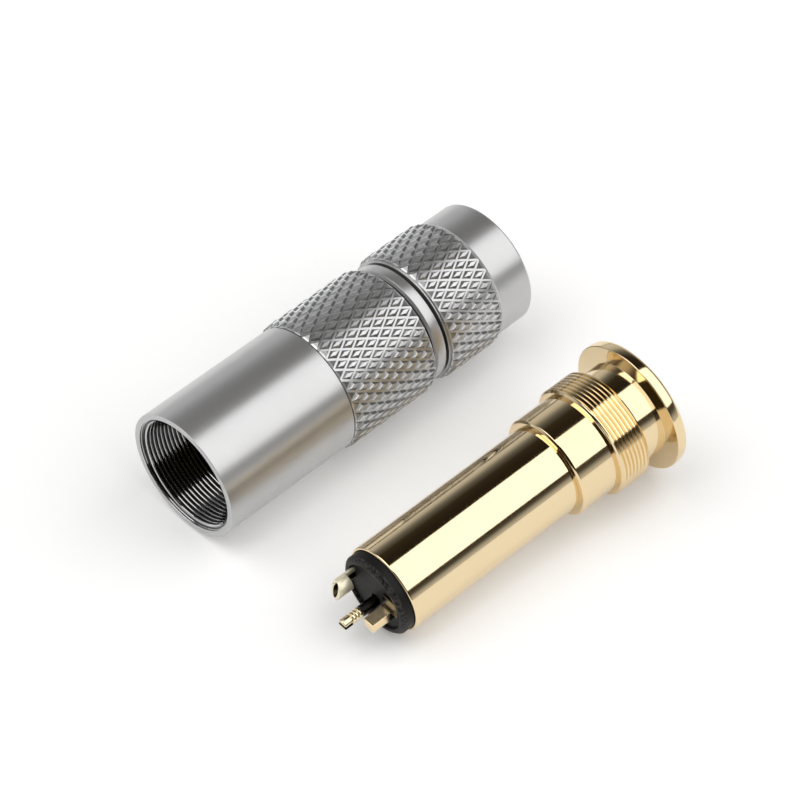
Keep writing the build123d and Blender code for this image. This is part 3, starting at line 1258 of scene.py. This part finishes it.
@dataclass
class TerminalEnd:
    """The insulators and the three solder terminals at the end of the tube."""

    place: Placement
    ring_radius: float = 4.75
    ring_bore_radius: float = 4.2
    ring_inner_radius: float = 3.95
    ring_front: float = -1.4
    ring_chamfer: float = 0.4
    ring_chamfer_ease: float = 0.1
    ring_inner_ease: float = 0.06
    ring_shoulder: float = -0.2
    ring_end: float = 18.1
    pin_radius: float = 0.63
    pin_rise: float = -0.75
    pin_tip: float = -5.65
    pin_tip_ease: float = 0.07
    pin_slot_depth: float = 0.95
    pin_slot_width: float = 0.44
    pin_groove_start: float = 1.05
    pin_groove_pitch: float = 0.42
    pin_groove_width: float = 0.2
    pin_groove_depth: float = 0.12
    pin_grooves: int = 4
    pin_head_start: float = 4.5
    pin_head_end: float = 4.75
    pin_head_radius: float = 1.0
    pin_head_ease: float = 0.08
    # Where the pin's slot is painted in shade: from a little past the tip to just past the slot's bottom,
    # within a share of the pin's radius.
    pin_shade_start: float = 0.1
    pin_shade_past: float = 0.02
    pin_shade_share: float = 0.8
    pin_steps: int = 72
    lug_ease: float = 0.07
    floor_ease: float = 0.03
    cup_side: float = -2.82
    cup_rise: float = 0.85
    cup_radius: float = 0.96
    cup_wall: float = 0.42
    # Which inner faces of the cup are painted in shade, as a share of its wall.
    cup_shade_share: float = 0.9
    cup_start: float = -4.4
    cup_waist: float = -2.3
    cup_end: float = -0.95
    cup_seam: float = 6.0
    cup_seam_width: float = 15.0
    cup_strip_start: float = 108.0
    cup_strip_end: float = 248.0
    cup_face: float = 48.0
    cup_slant: float = 0.48
    cup_ease: float = 0.04
    cup_steps: int = 64

    def insulator(self) -> Object:
        """Build the black sleeve whose chamfered ring stands out of the tube.

        Returns:
            The sleeve.
        """
        work = Workpiece()
        work.turn(
            Corner(self.ring_front, self.ring_inner_radius, self.ring_inner_ease),
            Corner(self.ring_front, self.ring_radius - self.ring_chamfer, self.ring_chamfer_ease),
            Corner(self.ring_front + self.ring_chamfer, self.ring_radius, self.ring_chamfer_ease),
            Corner(self.ring_end, self.ring_radius),
            Corner(self.ring_end, self.ring_bore_radius),
            Corner(self.ring_shoulder, self.ring_bore_radius),
            Corner(self.ring_shoulder, self.ring_inner_radius),
            closed=True,
        )
        return work.shape("insulator_sleeve_moulded", self.place)

    def pin(self) -> Object:
        """Build the tip pin: grooved shank, slotted end and riveted head.

        Returns:
            The pin.
        """
        slot_end = self.pin_tip + self.pin_slot_depth
        bottom = self.pin_radius - self.pin_groove_depth
        corners = [Corner(slot_end, 0.0), Corner(slot_end, self.pin_radius, ease=0.0)]
        for groove in range(self.pin_grooves):
            start = self.pin_tip + self.pin_groove_start + groove * self.pin_groove_pitch
            corners.append(Corner(start, self.pin_radius))
            corners.append(Corner(start + self.pin_groove_width / 2.0, bottom))
            corners.append(Corner(start + self.pin_groove_width, self.pin_radius))
        corners.append(Corner(self.pin_head_start, self.pin_radius))
        corners.append(Corner(self.pin_head_start, self.pin_head_radius))
        corners.append(Corner(self.pin_head_end, self.pin_head_radius, self.pin_head_ease))
        corners.append(Corner(self.pin_head_end, 0.0))
        work = Workpiece(self.pin_steps)
        work.turn(*corners)
        for side in (1.0, -1.0):
            work.add(self.pin_jaw(side))
        inner = self.pin_shade_share * self.pin_radius
        start, end = self.pin_tip + self.pin_shade_start, slot_end + self.pin_shade_past
        # Painted shade: the faces inside the slot wear the near-black gold.
        work.paint(1, lambda along, radius: start < along < end and radius < inner)
        return work.move((0.0, 0.0, self.pin_rise)).shape("tip_pin_slotted", self.place)

    def pin_jaw(self, side: float) -> Workpiece:
        """Build one of the two jaws beside the pin's slot.

        Args:
            side: 1 for the upper jaw, -1 for the lower one.

        Returns:
            The closed jaw, about the pin's own axis.
        """
        slot_end = self.pin_tip + self.pin_slot_depth
        work = Workpiece(self.pin_steps)
        work.turn(
            Corner(self.pin_tip, 0.0),
            Corner(self.pin_tip, self.pin_radius, self.pin_tip_ease),
            Corner(slot_end, self.pin_radius),
            Corner(slot_end, 0.0),
        )
        work.merge()
        edges = work.cut((0.0, 0.0, side * self.pin_slot_width / 2.0), (0.0, 0.0, -side))
        bmesh.ops.edgenet_fill(work.mesh, edges=edges)
        return work

    def cup(self) -> Object:
        """Build the ground cup: a rolled tube with an open seam, on a strip from the block.

        Returns:
            The cup.
        """
        work = Workpiece()
        work.wire([(along, self.cup_radius) for along in (self.cup_start, self.cup_waist, self.cup_end)])
        work.move((0.0, 0.0, 0.0), math.radians(self.cup_seam + self.cup_seam_width / 2.0 - 90.0))
        rolled = math.radians(360.0 - self.cup_seam_width)
        work.spin([*work.mesh.verts, *work.mesh.edges], rolled, self.cup_steps)
        work.merge()
        spare = [face for face in work.mesh.faces if self.beside_strip(face.calc_center_median())]
        bmesh.ops.delete(work.mesh, geom=spare, context="FACES")
        turn = Matrix.Rotation(math.radians(self.cup_face - 90.0), 3, "X")
        long_side = turn @ Vector((0.0, 0.0, 1.0))
        tip = Vector((self.cup_start, 0.0, 0.0)) - self.cup_radius * long_side
        work.cut(tip, Vector((-1.0, 0.0, 0.0)) + self.cup_slant * long_side)
        bmesh.ops.recalc_face_normals(work.mesh, faces=work.mesh.faces)
        middle = work.mesh.faces[0].calc_center_median()
        if work.mesh.faces[0].normal.dot(Vector((0.0, middle.y, middle.z))) <= 0.0:
            bmesh.ops.reverse_faces(work.mesh, faces=work.mesh.faces)
        bmesh.ops.solidify(work.mesh, geom=work.everything(), thickness=self.cup_wall)
        work.merge()
        work.ease(self.cup_ease)
        inner = self.cup_radius - self.cup_shade_share * self.cup_wall
        # Painted shade: the inner face of the rolled cup wears the near-black gold.
        work.paint(1, lambda along, radius: radius < inner)
        work.move((0.0, -self.cup_side, self.cup_rise))
        return work.shape("ground_cup_rolled", self.place)

    def beside_strip(self, place: Vector) -> bool:
        """Tell whether a point of the tube lies behind its waist and beside the strip.

        Args:
            place: The point, about the tube's own axis.

        Returns:
            Whether the tube is cut away there.
        """
        turned = math.degrees(math.atan2(place.z, -place.y)) % 360.0
        in_strip = self.cup_strip_start < turned < self.cup_strip_end
        return place.x > self.cup_waist and not in_strip

    def build(self) -> None:
        """Build and dress the insulators and the terminals."""
        black = BLACK_INSULATOR.material(self.place)
        fitted(self.insulator(), "insulator_sleeve", "black_plastic", black)
        # The near-black gold paints shade into the pin's slot and the cup.
        shaded = SHADE_GOLD.material(self.place)
        fitted(self.pin(), "tip_pin", "gold_terminal", PIN_GOLD.material(self.place), shaded)
        fitted(self.cup(), "ground_cup", "gold_terminal", CUP_GOLD.material(self.place), shaded)
        lug = copied("ring_lug", self.lug_ease).piece("ring_lug_eased")
        fitted(lug, "ring_lug", "gold_terminal", LUG_GOLD.material(self.place))
        floor = copied("contact_block", self.floor_ease).piece("contact_block_moulded")
        fitted(floor, "contact_block", "black_plastic", BLACK_FLOOR.material(self.place))


@dataclass
class Contacts:
    """The springs inside the insert, which show only through the plug bore."""

    place: Placement

    def build(self) -> None:
        """Dress the springs and the ring that keeps them apart."""
        bronze = SPRING_BRONZE.material(self.place)
        dressed(bronze, "tip_spring", "ring_spring", "ground_strip")
        dressed(BLACK_LINING.material(self.place), "spring_spacer")


@dataclass(frozen=True)
class Panel:
    """A soft light: a flat panel that faces the part from a direction."""

    name: str
    azimuth: float
    elevation: float
    distance: float
    width: float
    height: float
    radiance: float
    slide: float = 0.0

    def build(self) -> None:
        """Hang the panel, its width level."""
        light = bpy.data.lights.new(self.name, "AREA")
        light.shape = "RECTANGLE"
        light.size = self.width
        light.size_y = self.height
        light.energy = self.radiance * math.pi * self.width * self.height
        angles = (math.radians(90.0 - self.elevation), 0.0, math.radians(90.0 + self.azimuth))
        turn = Euler(angles).to_matrix().to_4x4()
        away = turn @ Vector((self.slide, 0.0, self.distance))
        linked(self.name, light).matrix_world = Matrix.Translation(away) @ turn


@dataclass
class Studio:
    """The pale floor, the soft light and the camera."""

    floor_size: float = 3.0
    floor_colour: Colour = (0.9, 0.9, 0.9)
    floor_glow: float = 0.18
    camera_place: tuple[float, float, float] = (-0.16439, -0.16413, 0.26817)
    camera_target: tuple[float, float, float] = (0.00622, 0.00973, 0.0)
    lens: float = 149.44
    sensor: float = 36.0
    front_sky: tuple[tuple[float, float], ...] = (
        (0.0, 0.58), (0.05, 0.55), (0.15, 0.3), (0.22, 0.1), (0.3, 0.06), (0.45, 0.04), (1.0, 0.012),
    )
    back_sky: tuple[tuple[float, float], ...] = (
        (0.0, 0.6), (0.13, 0.68), (0.3, 0.6), (0.38, 0.5), (0.5, 0.24), (0.6, 0.12), (0.75, 0.035),
        (1.0, 0.012),
    )
    dark_sky: Colour = (0.03, 0.023, 0.013)
    warm_below: float = 0.12
    warmest: tuple[float, float] = (0.72, 0.36)
    north_edge: tuple[float, float] = (-0.15, 0.15)
    dark_edge: tuple[float, float] = (0.3, 0.65)
    east_edge: tuple[float, float] = (-0.2, 0.25)
    long_panel: Panel = Panel("long_panel", -90.0, 59.0, 0.58, 0.87, 0.78, 1.7, slide=0.31)
    back_panel: Panel = Panel("back_panel", 142.0, 60.0, 0.6, 0.6, 0.5, 2.3)

    def floor(self) -> None:
        """Lay the floor, which looks white where nothing shades it."""
        work = Workpiece()
        bmesh.ops.create_grid(work.mesh, x_segments=1, y_segments=1, size=self.floor_size)
        made = linked("floor", work.move((0.0, 0.0, CAD_BOX[0].z)).data("floor"))
        made.data.materials.append(self.floor_material())

    def floor_material(self) -> Material:
        """Make the floor's material: pale, with a glow that only views and reflections see.

        Returns:
            The new material.
        """
        made = bpy.data.materials.new("pale_floor")
        tree = ShaderTree(made)
        path = tree.node("ShaderNodeLightPath", {}, {})
        rays = ("Is Camera Ray", "Is Glossy Ray", "Is Transmission Ray")
        seen = sum((Signal(tree, path.outputs[ray]) for ray in rays), 0.0)
        matt = tree.node("ShaderNodeBsdfDiffuse", {}, {"Color": (*self.floor_colour, 1.0)})
        glow = tree.node("ShaderNodeEmission", {}, {"Strength": self.floor_glow * seen})
        both = tree.node("ShaderNodeAddShader", {}, {0: matt.outputs[0], 1: glow.outputs[0]})
        tree.node("ShaderNodeOutputMaterial", {}, {"Surface": both.outputs[0]})
        return made

    def warmed(self, grey: float) -> Colour:
        """Warm a grey of the sky, the more the darker it is."""
        share = min(1.0, grey / self.warm_below)
        return (grey, *(grey * (least + (1.0 - least) * share) for least in self.warmest))

    def surround(self) -> None:
        """Light the scene from all round: pale at the far horizon, dark overhead."""
        world = bpy.data.worlds.new("surround")
        bpy.context.scene.world = world
        tree = ShaderTree(world)
        coordinates = tree.node("ShaderNodeTexCoord", {}, {})
        east, north, rise = tree.parts(coordinates.outputs["Generated"])
        front, back = (
            tree.ramp(rise, [(place, self.warmed(grey)) for place, grey in sky])
            for sky in (self.front_sky, self.back_sky)
        )
        east_half = tree.blend(tree.step(north, *self.north_edge), front, back)
        west_half = tree.blend(tree.step(north, *self.dark_edge), self.dark_sky, back)
        colour = tree.blend(tree.step(east, *self.east_edge), west_half, east_half)
        sky = tree.node("ShaderNodeBackground", {}, {"Color": colour})
        tree.node("ShaderNodeOutputWorld", {}, {"Surface": sky.outputs[0]})

    def camera(self) -> None:
        """Set the camera at the photograph's viewing angle."""
        data = bpy.data.cameras.new("camera")
        data.lens = self.lens
        data.sensor_width = self.sensor
        place = Vector(self.camera_place)
        turn = (Vector(self.camera_target) - place).to_track_quat("-Z", "Y")
        eye = linked("camera", data)
        eye.matrix_world = Matrix.Translation(place) @ turn.to_matrix().to_4x4()
        bpy.context.scene.camera = eye

    def build(self) -> None:
        """Build the whole studio."""
        bpy.context.scene.view_settings.view_transform = "Standard"
        self.floor()
        self.surround()
        self.long_panel.build()
        self.back_panel.build()
        self.camera()


def main() -> None:
    """Build the classes in order and report each piece."""
    logging.basicConfig(level=logging.INFO)
    Studio().build()
    Shell().build()
    insert = Insert()
    insert.build()
    TerminalEnd(insert.place).build()
    Contacts(insert.place).build()


if __name__ == "__main__":
    main()
